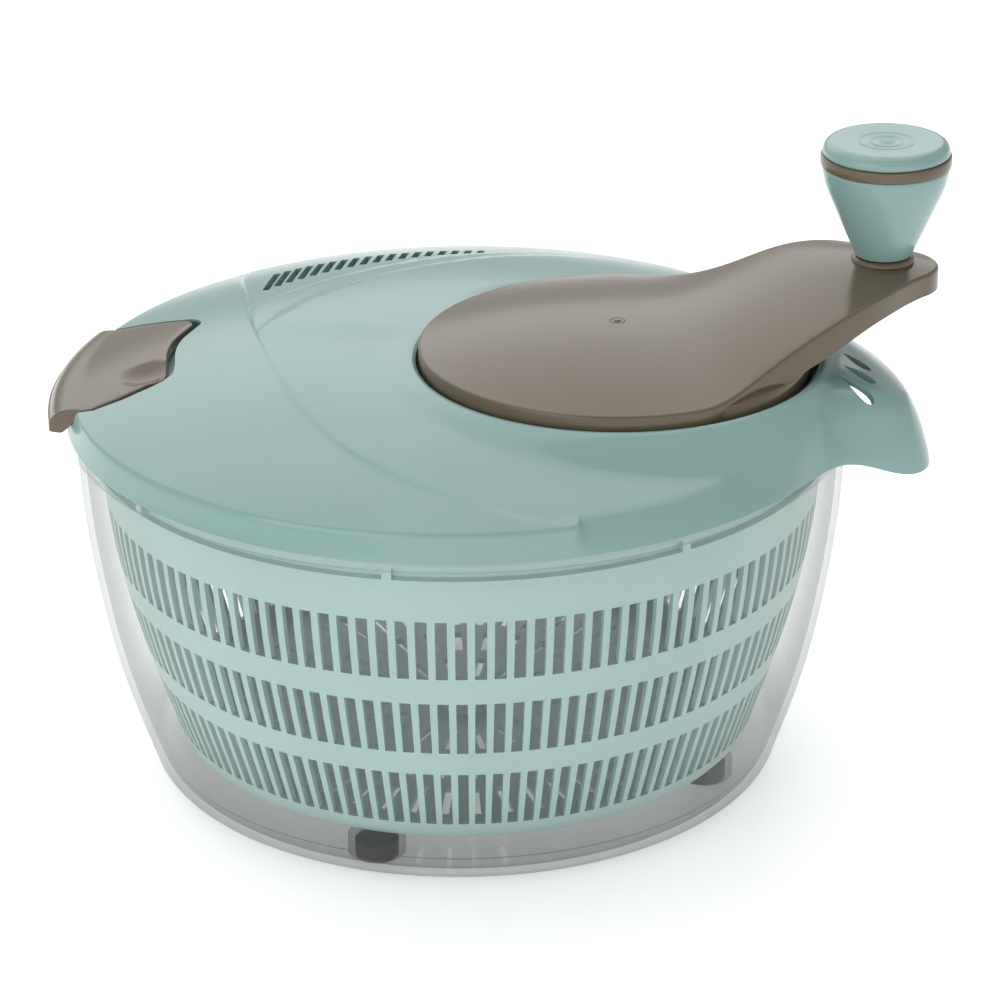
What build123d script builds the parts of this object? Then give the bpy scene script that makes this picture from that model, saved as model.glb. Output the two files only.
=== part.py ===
from build123d import *
import os
from math import atan2, cos, degrees, hypot, pi, radians, sin, tan

# Crank salad spinner: clear bowl, slotted basket, domed lid with an off-centre crank.
#
# Millimetres. The origin is on the bowl's axis at the standing surface, +Z is up, and +X points
# along the pouring spout. The crank turns about an axis CRANK_X from the bowl's axis, and a gear
# pair under the lid's well drives the basket about the bowl's axis.

# Bowl
RIM_Z = 120.0  # top of the bowl's flange, where the lid rests
FLANGE_R = 125.0
FLANGE_T = 3.0
BOWL_TOP_R = 122.5  # outer wall just under the flange
BOWL_MID_R = 117.2  # outer wall at half height
BOWL_LOW_R = 103.0  # outer wall where the bottom corner starts
BOWL_BASE_Z = 2.0
WALL = 2.2
FOOT_CIRCLE_R = 82.0
FOOT_R = 6.8
BOSS_R = 9.0
SPIGOT_R = 4.0
SPIGOT_TOP_Z = 15.0

# Basket
BASKET_RIM_Z = 117.8
BASKET_RIM_R = 119.2
BASKET_BASE_Z = 12.0
BASKET_T = 2.0
SLOTS_ROUND = 120
SLOT_SHARE = 0.62  # slot width as a share of the pitch
SLOT_ROWS = [(76.5, 96.6, 111.6), (48.5, 67.4, 106.8), (19.5, 40.0, 99.0)]  # bottom, top, radius
FLOOR_ROWS = [(20.0, 34.0, 18), (40.0, 54.0, 32), (60.0, 78.0, 48)]  # from, to, count

# Lid
LID_GAP = 0.3
LID_EDGE_Z = 129.5
LID_EDGE_R = 121.0
DOME_H = 12.5
VENT_W = 2.4
LID_T = 2.2
CRANK_X = 52.0  # crank axis from the bowl's axis
WELL_R = 63.0
WELL_RIM_Z = 143.5
WELL_FLOOR_Z = 136.5
SPOUT_DIST = 114.5  # the hood's centre from the bowl's axis
SPOUT_AZ = 10.0
SPOUT_R = 35.0
SPOUT_TOP_Z = 142.4
SPOUT_TIP_Z = 115.0

# Crank
DISC_R = 61.0
DISC_EDGE_Z = 147.5
DISC_TOP_Z = 154.5
DISC_SKIRT_Z = 138.2
CRANK_ANGLE = 30.0  # where the arm points at rest
ARM_L = 85.0
ARM_END_R = 16.5
ARM_TOP_Z = 168.5
SHELL_T = 2.4
SHAFT_R = 6.0
RUNNING = 0.06  # radial clearance of a shaft in its bush

# Gears
MODULE = 1.3
GEAR_TEETH = 64
PINION_TEETH = 16
GEAR_Z = (127.0, 133.0)
BACKLASH = 0.16

# Housing, drive plate
HOUSING_Z = 122.0
HOUSING_T = 2.0
PLATE_Z = 118.8
PLATE_T = 2.0
PLATE_R = 111.0
SCREW_SPOTS = [(25.5, 46.0), (25.5, -46.0), (78.5, 46.0), (78.5, -46.0), (-5.0, 23.0), (-5.0, -23.0)]

# Lock slider
LOCK_AZ = 194.0
LOCK_TRAVEL = 2.4
LOCK_LIP_R = 130.4
LOCK_DEPTH = 4.6  # pocket depth below the lid's top surface

# Knob
KNOB_TOP_R = 20.4
KNOB_BASE_R = 9.1
KNOB_BASE_Z = 170.3
KNOB_BODY_H = 29.2
KNOB_BAND_H = 3.6
KNOB_X = CRANK_X + ARM_L * cos(radians(CRANK_ANGLE))
KNOB_Y = ARM_L * sin(radians(CRANK_ANGLE))


def at(x, y, shape):
    """shape moved sideways."""
    return Pos(x, y, 0) * shape


def disc(radius, low, high, x=0.0, y=0.0):
    """A cylinder standing between two heights."""
    return Pos(x, y, (low + high) / 2) * Cylinder(radius, high - low)


def ring(inner, outer, low, high, x=0.0, y=0.0):
    return disc(outer, low, high, x, y) - disc(inner, low - 1, high + 1, x, y)


def turned(edges):
    """A solid of revolution about Z from edges drawn as (radius, height)."""
    return revolve(Plane.XZ * make_face(Curve() + edges), Axis.Z)


def prism(face, low, high):
    """A flat outline pulled up between two heights."""
    return extrude(Pos(0, 0, low) * face, high - low)


def polar(radius, angle):
    return (radius * cos(radians(angle)), radius * sin(radians(angle)))


def around(shape, count, start=0.0):
    """Copies of a shape spread evenly about the Z axis."""
    return [Rot(0, 0, start + 360.0 * i / count) * shape for i in range(count)]


def save(shape, name):
    export_step(shape, f"parts/{name}.step")


def dome_z(radius):
    """Height of the lid's top surface at a distance from the bowl's axis."""
    return LID_EDGE_Z + DOME_H * (1 - (radius / LID_EDGE_R) ** 3)


def make_bowl():
    """Clear bowl: flange, curved wall, rounded corner, four foot bosses and a centre spigot."""
    inner_top = BOWL_TOP_R - WALL
    floor_z = BOWL_BASE_Z + WALL + 0.2
    profile = [
        Polyline((0, BOWL_BASE_Z), (94, BOWL_BASE_Z)),
        ThreePointArc((94, BOWL_BASE_Z), (100.4, 4.4), (BOWL_LOW_R, 10)),
        ThreePointArc((BOWL_LOW_R, 10), (BOWL_MID_R, 63.5), (BOWL_TOP_R, RIM_Z - FLANGE_T)),
        Polyline(
            (BOWL_TOP_R, RIM_Z - FLANGE_T),
            (FLANGE_R - 0.6, RIM_Z - FLANGE_T),
            (FLANGE_R, RIM_Z - FLANGE_T + 0.6),
            (FLANGE_R, RIM_Z - 0.6),
            (FLANGE_R - 0.6, RIM_Z),
            (inner_top, RIM_Z),
            (inner_top, RIM_Z - FLANGE_T),
        ),
        ThreePointArc(
            (inner_top, RIM_Z - FLANGE_T), (BOWL_MID_R - WALL, 63.8), (BOWL_LOW_R - WALL, 11)
        ),
        ThreePointArc((BOWL_LOW_R - WALL, 11), (98.8, 6.6), (93.5, floor_z)),
        Polyline((93.5, floor_z), (0, floor_z), (0, BOWL_BASE_Z)),
    ]
    bowl = turned(profile)
    bowl += disc(SPIGOT_R + 3, floor_z - 1, floor_z + 1.2) + disc(SPIGOT_R, floor_z, SPIGOT_TOP_Z)
    for k in range(4):
        x, y = polar(FOOT_CIRCLE_R, 90 * k)
        bowl += disc(BOSS_R, 1.0, 8.0, x, y)
        bowl -= disc(FOOT_R + 0.05, 0.5, 5.6, x, y)
    return bowl


def make_feet():
    """Four rubber plugs that the bowl stands on."""
    feet = []
    for k in range(4):
        x, y = polar(FOOT_CIRCLE_R, 90 * k)
        plug = disc(FOOT_R, 0, 5.5)
        plug = chamfer(plug.faces().sort_by(Axis.Z)[0].edges(), 0.5)
        feet.append(at(x, y, plug))
    return Compound(children=feet)


def basket_wall(offset):
    """Side line of the basket from rim to bottom corner, moved inwards by offset."""
    return Spline(
        (114.6 - offset, 110.2), (111.6 - offset, 79.0), (104.2 - offset, 48.0), (95.0 - offset, 19.5)
    )


def make_basket():
    """Slotted basket with a channelled rim, four forks for the drive plate and a pivot hub."""
    t = BASKET_T
    base = BASKET_BASE_Z
    profile = [
        Polyline((0, base), (87.5, base)),
        ThreePointArc((87.5, base), (92.4, 14.2), (95.0, 19.5)),
        basket_wall(0),
        Polyline(
            (114.6, 110.2),
            (118.2, 110.2),
            (118.2, 111.8),
            (116.4, 112.4),
            (116.4, 115.6),
            (BASKET_RIM_R, 116.0),
            (BASKET_RIM_R, BASKET_RIM_Z),
            (113.9, BASKET_RIM_Z),
            (114.6 - t, 110.2),
        ),
        basket_wall(t),
        ThreePointArc((95.0 - t, 19.5), (91.0, 15.6), (87.5, base + t)),
        Polyline((87.5, base + t), (0, base + t), (0, base)),
    ]
    basket = turned(profile)
    rib = Pos(117.4, 0, 113.9) * Box(2.4, 3.0, 4.4)
    basket += around(rib, 8, 9.0)
    dog = Pos(111.2, 0, 113.8) * Box(5.4, 3.0, 5.2)
    basket += [Rot(0, 0, 45 + 90 * k + side * 4.2) * dog for k in range(4) for side in (-1, 1)]
    cuts = []
    for low, high, radius in SLOT_ROWS:
        width = SLOT_SHARE * 2 * pi * radius / SLOTS_ROUND
        slot = Pos(radius - 1, 0, (low + high) / 2) * Box(20.0, width, high - low)
        cuts += around(slot, SLOTS_ROUND, 1.5)
    for start, end, count in FLOOR_ROWS:
        slot = Pos((start + end) / 2, 0, base + t / 2) * Box(end - start, 2.6, 3 * t)
        cuts += around(slot, count)
    basket -= cuts
    basket += disc(9.0, base - 5.5, base + 6.0)
    basket -= disc(SPIGOT_R + 0.3, base - 6.0, SPIGOT_TOP_Z + 0.3)
    return basket


def lid_profile(drop):
    """Top line of the lid from the axis to the edge, lowered by drop."""
    radii = [0, 35, 65, 90, 108, 118]
    return Spline([(r, dome_z(r) - drop) for r in radii], tangents=((1, 0), (1, -0.42)))


def make_dome():
    """Thin domed shell with its outer skirt and the ring that centres it in the bowl."""
    foot = RIM_Z + LID_GAP
    edge, inner_edge = dome_z(118), dome_z(118) - LID_T
    profile = [
        lid_profile(0),
        ThreePointArc((118, edge), (121.2, edge - 1.9), (122.6, edge - 4.4)),
        Polyline(
            (122.6, edge - 4.4),
            (FLANGE_R - 0.2, foot),
            (118.0, foot),
            (118.0, foot - 1.9),
            (116.6, foot - 1.9),
            (116.6, foot + 1.6),
            (121.4, foot + 1.6),
            (119.9, edge - 5.2),
            (118.0, inner_edge),
        ),
        lid_profile(LID_T),
        Line((0, dome_z(0) - LID_T), (0, dome_z(0))),
    ]
    return turned(profile)


def make_spout(inset):
    """Hooded duck-bill over the bowl's rim, as a solid dome; inset makes the inner one."""
    radius = SPOUT_R - inset
    low = SPOUT_TIP_Z
    top = SPOUT_TOP_Z - inset
    profile = [
        Spline(
            (0, top), (radius * 0.5, top - 3.0), (radius * 0.8, top - 9.6), (radius, low + 5.0),
            tangents=((1, 0), (0.08, -1)),
        ),
        Polyline((radius, low + 5.0), (radius, low), (0, low), (0, top)),
    ]
    return at(*polar(SPOUT_DIST, SPOUT_AZ), turned(profile))


def strainer_slots():
    """Three round-ended slots that let water into the spout and hold leaves back."""
    cuts = []
    for (x1, y1), (x2, y2) in [
        ((117.6, 27.6), (127.2, 20.0)),
        ((120.8, 16.0), (131.0, 11.4)),
        ((121.8, 7.6), (133.0, 2.2)),
    ]:
        length = hypot(x2 - x1, y2 - y1)
        slot = Box(length, 3.6, 24) + Pos(length / 2, 0, 0) * Cylinder(2.6, 24)
        turn = degrees(atan2(y2 - y1, x2 - x1))
        cuts.append(Pos((x1 + x2) / 2, (y1 + y2) / 2, RIM_Z + 18) * Rot(0, 0, turn) * slot)
    return cuts


def vent_slits():
    """Eighteen parallel slits near the lid's edge, each shorter than the one before."""
    cuts = []
    for i in range(18):
        length = 18.4 - 0.88 * i
        x, y = polar(100.5, 147.3 - 2.45 * i)
        along = radians(102.5)
        centre = Pos(x - cos(along) * length / 2, y - sin(along) * length / 2, 136)
        cuts.append(centre * Rot(0, 0, 102.5) * Box(length, VENT_W, 16))
    return cuts


def lock_outline(outer_r, side, inward):
    """Plan of the lock slider, its sides moved out by side and its inner edge moved inward."""
    top_y, low_y = 3.6 + side, -64.0 - side
    outer_a = (-((outer_r**2 - top_y**2) ** 0.5), top_y)
    outer_b = (-((outer_r**2 - low_y**2) ** 0.5), low_y)
    inner_a = (-94.0 + inward, top_y)
    inner_b = (-83.0 + inward, -43.0)
    edges = [
        ThreePointArc(outer_a, polar(outer_r, LOCK_AZ), outer_b),
        Line(outer_b, (-99.0 + inward / 2, low_y)),
        Line((-99.0 + inward / 2, low_y), inner_b),
        Spline(inner_b, (-89.0 + inward, -29.0), (-93.0 + inward, -14.0), inner_a),
        Line(inner_a, outer_a),
    ]
    return make_face(Curve() + edges)


def lock_zone(top_drop, bottom_drop):
    """The layer of the lid between two depths below its top surface, from the axis outwards."""
    high = [(r, dome_z(r) - top_drop) for r in (60, 85, 105, 120, 133)]
    low = [(r, z - bottom_drop + top_drop) for r, z in high]
    profile = [Spline(high), Line(high[-1], low[-1]), Spline(low), Line(low[0], high[0])]
    return turned(profile)


def guide_slot(width, length, low, high):
    """A bar along the slider's travel, under the middle of its plate."""
    x, y = polar(106.0, LOCK_AZ)
    return Pos(x, y, (low + high) / 2) * Rot(0, 0, LOCK_AZ) * Box(length, width, high - low)


def make_lid():
    """Lid cover: dome, crank well with a raised collar, spout, vents and the lock's pocket."""
    floor_low = WELL_FLOOR_Z - 2.0
    well_wall = disc(WELL_R + 2.0, floor_low, WELL_RIM_Z, CRANK_X)
    collar = at(CRANK_X, 0, Pos(0, 0, WELL_RIM_Z - 4.5) * Cone(WELL_R + 11, WELL_R + 1.6, 9.0))
    outer = make_dome()
    outer += make_spout(0) - disc(FLANGE_R + 0.6, 100, RIM_Z + LID_GAP)
    outer += collar & disc(119.0, 100, 160)
    outer += well_wall
    outer -= make_spout(LID_T) - well_wall - disc(116.0, 100, 128)
    # the room inside the dome and under the collar
    inner = turned(
        [
            lid_profile(LID_T),
            Line((118, dome_z(118) - LID_T), (118, 110)),
            Polyline((118, 110), (0, 110), (0, dome_z(0) - LID_T)),
        ]
    )
    inner += at(CRANK_X, 0, Pos(0, 0, WELL_RIM_Z - 7) * Cone(WELL_R + 8.5, WELL_R + 2.0, 9.0)) & disc(
        116.5, 100, 160
    )
    keep = disc(WELL_R + 2.0, floor_low, 170, CRANK_X) + ring(116.6, 130, 100, 124)
    outer -= inner - keep
    outer -= disc(WELL_R, WELL_FLOOR_Z, 170, CRANK_X)
    # pocket for the lock slider, with its own floor and end wall
    pocket = prism(lock_outline(140.0, 1.2, LOCK_TRAVEL + 0.6), 110, 150)
    tray = prism(lock_outline(121.5, 3.2, LOCK_TRAVEL + 2.6), 110, 150)
    outer += tray & lock_zone(0.6, LOCK_DEPTH + 2.0)
    outer -= pocket & lock_zone(-14.0, LOCK_DEPTH)
    outer -= guide_slot(8.6, 26.0, 110, 150)
    # gear box roof, bearing seats and screw posts under the well
    outer += disc(17.0, floor_low, WELL_FLOOR_Z)
    post_low = HOUSING_Z + 2 * HOUSING_T
    outer += [disc(4.0, post_low, floor_low + 0.5, x, y) for x, y in SCREW_SPOTS]
    outer -= [disc(1.3, HOUSING_Z, floor_low - 0.6, x, y) for x, y in SCREW_SPOTS]
    outer -= disc(8.0, floor_low - 1, WELL_FLOOR_Z + 1, CRANK_X)
    outer -= disc(5.5, floor_low - 1, WELL_FLOOR_Z + 1)
    outer -= strainer_slots()
    return outer - vent_slits()


def make_lock_slider():
    """Lock slider: a curved plate with an outer lip, a hook for the bowl's flange and a guide."""
    edge = dome_z(120.0)
    high = [(r, dome_z(r)) for r in (78, 92, 106, 120)]
    low = [(r, z - 3.2) for r, z in high]
    section = turned(
        [
            Spline(high),
            ThreePointArc((120, edge), (127.4, edge - 2.2), (LOCK_LIP_R, edge - 5.6)),
            Polyline(
                (LOCK_LIP_R, edge - 5.6), (LOCK_LIP_R, 121.0), (128.2, 121.0), (128.2, edge - 6.4), low[-1]
            ),
            Spline(low),
            Line(low[0], high[0]),
        ]
    )
    slider = section & prism(lock_outline(136.0, 0.0, 0.0), 110, 150)
    slider -= Pos(-91.5, -43.0, dome_z(99) + 9.4) * Sphere(12.0)
    hook = turned(
        [
            Polyline((125.6, 113.8), (LOCK_LIP_R - 0.1, 113.8), (LOCK_LIP_R - 0.1, 122.0)),
            Polyline((LOCK_LIP_R - 0.1, 122.0), (128.3, 122.0), (128.3, 116.6), (125.6, 116.6)),
            Line((125.6, 116.6), (125.6, 113.8)),
        ]
    )
    slider += hook & Rot(0, 0, LOCK_AZ) * Pos(128, 0, 118) * Box(20, 22, 40)
    stem_low = dome_z(106) - LOCK_DEPTH - 2.0
    slider += guide_slot(8.0, 20.0, stem_low - 3.2, dome_z(106) - 2.6)
    return slider + guide_slot(12.6, 20.0, stem_low - 4.6, stem_low - 3.0)


def involute_gear(teeth, phase, low, high):
    """Spur gear with involute flanks, centred on the Z axis, one tooth centred at phase degrees."""
    pressure = radians(20.0)
    pitch = MODULE * teeth / 2
    base = pitch * cos(pressure)
    tip = pitch + MODULE * 0.95
    root = pitch - MODULE * 1.2
    inv_pitch = tan(pressure) - pressure
    half = pi / (2 * teeth) - BACKLASH / (4 * pitch) + inv_pitch
    start = max(base, root + 0.01)
    flank = []
    for i in range(5):
        r = start + (tip - start) * i / 4
        turn = (max(r / base, 1.0) ** 2 - 1) ** 0.5
        flank.append((r, half - (turn - atan2(turn, 1.0))))
    edges = []
    step = 2 * pi / teeth
    for k in range(teeth):
        mid = radians(phase) + k * step
        rise = [(r * cos(mid - a), r * sin(mid - a)) for r, a in flank]
        fall = [(r * cos(mid + a), r * sin(mid + a)) for r, a in reversed(flank)]
        foot_a = (root * cos(mid - flank[0][1]), root * sin(mid - flank[0][1]))
        foot_b = (root * cos(mid + flank[0][1]), root * sin(mid + flank[0][1]))
        next_a = mid + step - flank[0][1]
        next_foot = (root * cos(next_a), root * sin(next_a))
        edges += [
            Line(foot_a, rise[0]),
            Spline(rise),
            Line(rise[-1], fall[0]),
            Spline(fall),
            Line(fall[-1], foot_b),
            Line(foot_b, next_foot),
        ]
    return prism(make_face(Curve() + edges), low, high)


def flatted_bar(radius, across, low, high):
    """A shaft end with two flats, which turns what it is pushed into."""
    return disc(radius, low, high) & Pos(0, 0, (low + high) / 2) * Box(
        across, 4 * radius, high - low
    )


def make_drive_gear():
    low, high = GEAR_Z
    gear = involute_gear(GEAR_TEETH, 180.0, low, high)
    gear -= ring(12.0, 36.0, low + 3.5, high + 1)
    gear -= [Pos(24 * cos(a), 24 * sin(a), low) * Cylinder(7.0, 12) for a in six_angles()]
    gear -= Rot(0, 0, CRANK_ANGLE) * flatted_bar(5.05, 8.05, low - 1, high + 1)
    return at(CRANK_X, 0, gear)


def six_angles():
    return [radians(60 * k) for k in range(6)]


def make_pinion():
    """Pinion and its shaft in one piece, on the bowl's axis."""
    low, high = GEAR_Z
    pinion = involute_gear(PINION_TEETH, 180.0 / PINION_TEETH, low, high)
    pinion += disc(3.5, high - 0.5, WELL_FLOOR_Z + 0.6)
    pinion += disc(5.0, PLATE_Z + PLATE_T + 0.2, low + 0.5)
    pinion += flatted_bar(5.0, 8.0, PLATE_Z - 1.5, PLATE_Z + PLATE_T + 0.3)
    pinion -= disc(1.5, PLATE_Z - 2, low)
    return pinion


def make_bush(bore, body, flange, low, high, flange_low, flange_high, x=0.0):
    bush = disc(body, low, high, x) + disc(flange, flange_low, flange_high, x)
    return bush - disc(bore, low - 1, high + 1, x)


def make_housing():
    """Plate with a low wall that closes the gear box, with a seat for the pinion's lower bush."""
    low = HOUSING_Z
    floor = low + HOUSING_T
    top = WELL_FLOOR_Z - 2.0
    big, small = Pos(CRANK_X, 0, 0) * Circle(47), Circle(15)
    plan = make_hull((big + small).edges())
    inside = offset(plan, -1.8)
    body = prism(plan, low, top - 0.1) - prism(inside, floor, top + 1)
    ears = [disc(7.5, low, low + 2 * HOUSING_T, x, y) for x, y in SCREW_SPOTS]
    body = (body + ears) - prism(inside, floor, top + 1)
    body -= [disc(4.4, low + 2 * HOUSING_T, top + 1, x, y) for x, y in SCREW_SPOTS]
    body -= [disc(1.8, low - 1, top, x, y) for x, y in SCREW_SPOTS]
    body -= [disc(3.6, low - 1, low + HOUSING_T, x, y) for x, y in SCREW_SPOTS]
    body += ring(7.5, 10.0, low, 125.4)
    return body - disc(7.5, low - 1, floor + 3)


def make_screw(head_r, head_low, head_high, shank_r, top, x=0.0, y=0.0):
    """Pan-head screw pointing up, with a cross recess."""
    head = disc(head_r, head_low, head_high)
    head = fillet(head.faces().sort_by(Axis.Z)[0].edges(), 0.5)
    head -= Pos(0, 0, head_low) * (Box(2.8, 0.8, 1.6) + Box(0.8, 2.8, 1.6))
    return at(x, y, head + disc(shank_r, head_high - 0.2, top))


def make_housing_screws():
    seat = HOUSING_Z + HOUSING_T
    screws = [make_screw(3.2, seat - 1.9, seat, 1.25, 132.0, x, y) for x, y in SCREW_SPOTS]
    return Compound(children=screws)


def make_drive_plate():
    """Vented disc that closes the basket; four lugs reach into the basket's forks."""
    plate = disc(PLATE_R, PLATE_Z, PLATE_Z + PLATE_T) + disc(11, PLATE_Z - 1.8, PLATE_Z + PLATE_T)
    plate += ring(PLATE_R - 3, PLATE_R, PLATE_Z - 2, PLATE_Z)
    lug = Pos(107.4, 0, PLATE_Z - 2.4) * Box(4.8, 7.6, 5.6)
    plate += [Rot(0, 0, 45 + 90 * k) * lug for k in range(4)]
    window = Pos(62, 0, PLATE_Z) * Box(52, 5.0, 12)
    plate -= around(window, 24, 7.5)
    return plate - flatted_bar(5.05, 8.05, PLATE_Z - 4, PLATE_Z + 4)


def arm_side_view(inset):
    """Side view of the disc and arm along the arm, top surface lowered by inset."""
    top = [(0, 151.0), (30, 151.6), (52, 158.6), (70, 166.0), (ARM_L, ARM_TOP_Z), (110, 168.8)]
    low = [(0, 142.0), (34, 143.0), (56, 149.0), (74, 158.4), (ARM_L + 4, 161.4), (110, 162.0)]
    top = [(s, z - inset) for s, z in top]
    if inset:
        low = [(s, z - 8) for s, z in low]
    edges = [Spline(top), Line(top[-1], low[-1]), Spline(low), Line(low[0], top[0])]
    face = Plane.XZ * make_face(Curve() + edges)
    return extrude(face, 60, both=True)


def arm_plan(inset):
    """Plan of the arm: it narrows from the disc in two hollow curves to a round end."""
    neck = [(26, 52.5 - inset), (44, 40.0 - inset), (58, 34.5 - inset), (72, 28.0 - inset)]
    tip = (ARM_L + ARM_END_R - inset, 0)
    corner = (ARM_L + 5.0 - 0.6 * inset, 16.4 - 0.8 * inset)
    upper = Spline(neck + [corner, tip], tangents=((0.62, -0.78), (0, -1)))
    lower = upper.mirror(Plane.XZ)
    back = Polyline((26, 52.5 - inset), (0, 52.5 - inset), (0, -52.5 + inset), (26, -52.5 + inset))
    return make_face(Curve() + [upper, lower, back])


def disc_profile(inset, low):
    radius = DISC_R - inset
    edge, top = DISC_EDGE_Z - inset, DISC_TOP_Z - inset
    return turned(
        [
            ThreePointArc((0, top), (radius * 0.55, top - 1.75), (radius - 1.5, edge)),
            ThreePointArc((radius - 1.5, edge), (radius - 0.4, edge - 0.5), (radius, edge - 1.6)),
            Polyline((radius, edge - 1.6), (radius, low), (0, low), (0, top)),
        ]
    )


def make_crank_cover():
    """Crank: shallow domed disc with a skirt in the well, an arm that rises to the knob, a hub."""
    outer = disc_profile(0, DISC_SKIRT_Z) + (prism(arm_plan(0), 130, 180) & arm_side_view(0))
    room = disc_profile(SHELL_T, DISC_SKIRT_Z - 5)
    room += (prism(arm_plan(SHELL_T), 120, 180) & arm_side_view(SHELL_T)) - disc(DISC_R, 100, 180)
    cover = outer - room
    cover += ring(3.4, 9.0, 158.0, ARM_TOP_Z - 1.5, ARM_L) & prism(arm_plan(0), 120, 180)
    cover += disc(8.9, ARM_TOP_Z - 2.0, KNOB_BASE_Z - 0.4, ARM_L)
    cover -= disc(3.0, 120, 180, ARM_L)
    cover += disc(9.0, WELL_FLOOR_Z + 2.3, DISC_TOP_Z - 2.0)
    for k in range(6):
        rib = Pos(33, 0, 149.6) * Box(50, 1.6, 5.0)
        cover += (Rot(0, 0, 60 * k + 30) * rib) & disc_profile(0.5, DISC_SKIRT_Z)
    cover += disc(SHAFT_R, GEAR_Z[1] + 0.2, DISC_TOP_Z - 2.0)
    cover += flatted_bar(5.0, 8.0, GEAR_Z[0] + 0.3, GEAR_Z[1] + 0.3)
    cover -= disc(1.5, GEAR_Z[0] - 1, 145)
    return at(CRANK_X, 0, Rot(0, 0, CRANK_ANGLE) * cover)


def make_knob_body():
    """Knob body: a cone that swells to the band, hollow for the pin's head and the cap."""
    low = KNOB_BASE_Z
    shoulder = low + KNOB_BODY_H
    profile = [
        Polyline((3.06, low), (KNOB_BASE_R - 0.6, low), (KNOB_BASE_R, low + 0.6)),
        Spline(
            (KNOB_BASE_R, low + 0.6),
            (12.2, low + 7.4),
            (16.5, low + 17.3),
            (19.0, low + 23.8),
            (KNOB_TOP_R - 0.5, shoulder),
        ),
        Polyline(
            (KNOB_TOP_R - 0.5, shoulder),
            (KNOB_TOP_R - 2.4, shoulder),
            (KNOB_TOP_R - 2.4, shoulder + KNOB_BAND_H + 1.2),
            (KNOB_TOP_R - 4.6, shoulder + KNOB_BAND_H + 1.2),
            (KNOB_TOP_R - 4.6, shoulder - 2.0),
            (8.0, low + 12.0),
            (3.06, low + 12.0),
            (3.06, low),
        ),
    ]
    return at(KNOB_X, KNOB_Y, turned(profile))


def make_knob_ring():
    low = KNOB_BASE_Z + KNOB_BODY_H
    band = ring(KNOB_TOP_R - 2.35, KNOB_TOP_R, low, low + KNOB_BAND_H)
    band = fillet(band.edges().filter_by(GeomType.CIRCLE).group_by(SortBy.RADIUS)[-1], 0.6)
    return at(KNOB_X, KNOB_Y, band)


def make_knob_cap():
    """Shallow cap with a dished top that snaps into the knob's body."""
    low = KNOB_BASE_Z + KNOB_BODY_H + KNOB_BAND_H
    top = low + 4.3
    snap = KNOB_TOP_R - 4.65
    profile = [
        Line((0, top - 0.6), (6, top - 0.6)),
        Spline((6, top - 0.6), (13.0, top - 0.25), (16.4, top), (18.9, top - 1.2), (19.9, top - 3.4)),
        Polyline((19.9, top - 3.4), (19.6, low), (KNOB_TOP_R - 2.35, low), (KNOB_TOP_R - 2.35, low + 1.3)),
        Polyline((KNOB_TOP_R - 2.35, low + 1.3), (snap, low + 1.3), (snap, low - 2), (snap - 1.5, low - 2)),
        Polyline((snap - 1.5, low - 2), (snap - 1.5, top - 2.9), (0, top - 2.9), (0, top - 0.6)),
    ]
    return at(KNOB_X, KNOB_Y, turned(profile))


def make_knob_pin():
    """Steel pin fixed in the arm; its head holds the knob down."""
    pin = disc(3.0, 157.0, KNOB_BASE_Z + 13.0) + disc(5.5, KNOB_BASE_Z + 13.0, KNOB_BASE_Z + 15.4)
    return at(KNOB_X, KNOB_Y, pin)


def make_knob_washer():
    return ring(3.1, 6.5, KNOB_BASE_Z + 12.1, KNOB_BASE_Z + 13.0, KNOB_X, KNOB_Y)


def make_pin_clip():
    """Push-on clip that keeps the pin from pulling out of the arm."""
    clip = ring(3.0, 6.0, 157.2, 158.0)
    clip -= Pos(4.5, 0, 157.6) * Box(4, 1.2, 3)
    return at(KNOB_X, KNOB_Y, clip)


def main():
    os.makedirs("parts", exist_ok=True)
    save(make_bowl(), "bowl")
    save(make_feet(), "bowl_feet")
    save(make_basket(), "basket")
    save(make_lid(), "lid_cover")
    save(make_lock_slider(), "lock_slider")
    save(make_crank_cover(), "crank_cover")
    save(make_drive_gear(), "drive_gear")
    save(ring(1.7, 7.5, 126.0, 127.0, CRANK_X), "gear_washer")
    save(make_screw(3.6, 124.3, 126.0, 1.45, 143.0, CRANK_X), "gear_screw")
    floor_low = WELL_FLOOR_Z - 2.0
    save(
        make_bush(
            SHAFT_R + RUNNING, 8.0, 10.5, floor_low - 1.2, WELL_FLOOR_Z + 1.6,
            WELL_FLOOR_Z, WELL_FLOOR_Z + 1.6, CRANK_X,
        ),
        "crank_bush",
    )
    save(make_pinion(), "pinion")
    save(
        make_bush(
            3.5 + RUNNING, 5.5, 7.0, floor_low - 1.2, WELL_FLOOR_Z + 1.2,
            WELL_FLOOR_Z, WELL_FLOOR_Z + 1.2,
        ),
        "pinion_bush_upper",
    )
    save(make_bush(5.0 + RUNNING, 7.5, 9.5, 121.4, 126.6, 125.4, 126.6), "pinion_bush_lower")
    save(make_housing(), "gear_housing")
    save(make_housing_screws(), "housing_screws")
    save(make_drive_plate(), "drive_plate")
    save(ring(1.7, 8.0, 116.0, 117.0), "plate_washer")
    save(make_screw(3.6, 114.2, 116.0, 1.45, 125.5), "plate_screw")
    save(make_knob_body(), "knob_body")
    save(make_knob_ring(), "knob_ring")
    save(make_knob_cap(), "knob_cap")
    save(make_knob_pin(), "knob_pin")
    save(make_knob_washer(), "knob_washer")
    save(make_pin_clip(), "pin_clip")


main()
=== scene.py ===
import math

import bmesh
import bpy
import numpy as np
from mathutils import Matrix, Vector, geometry, kdtree


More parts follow.
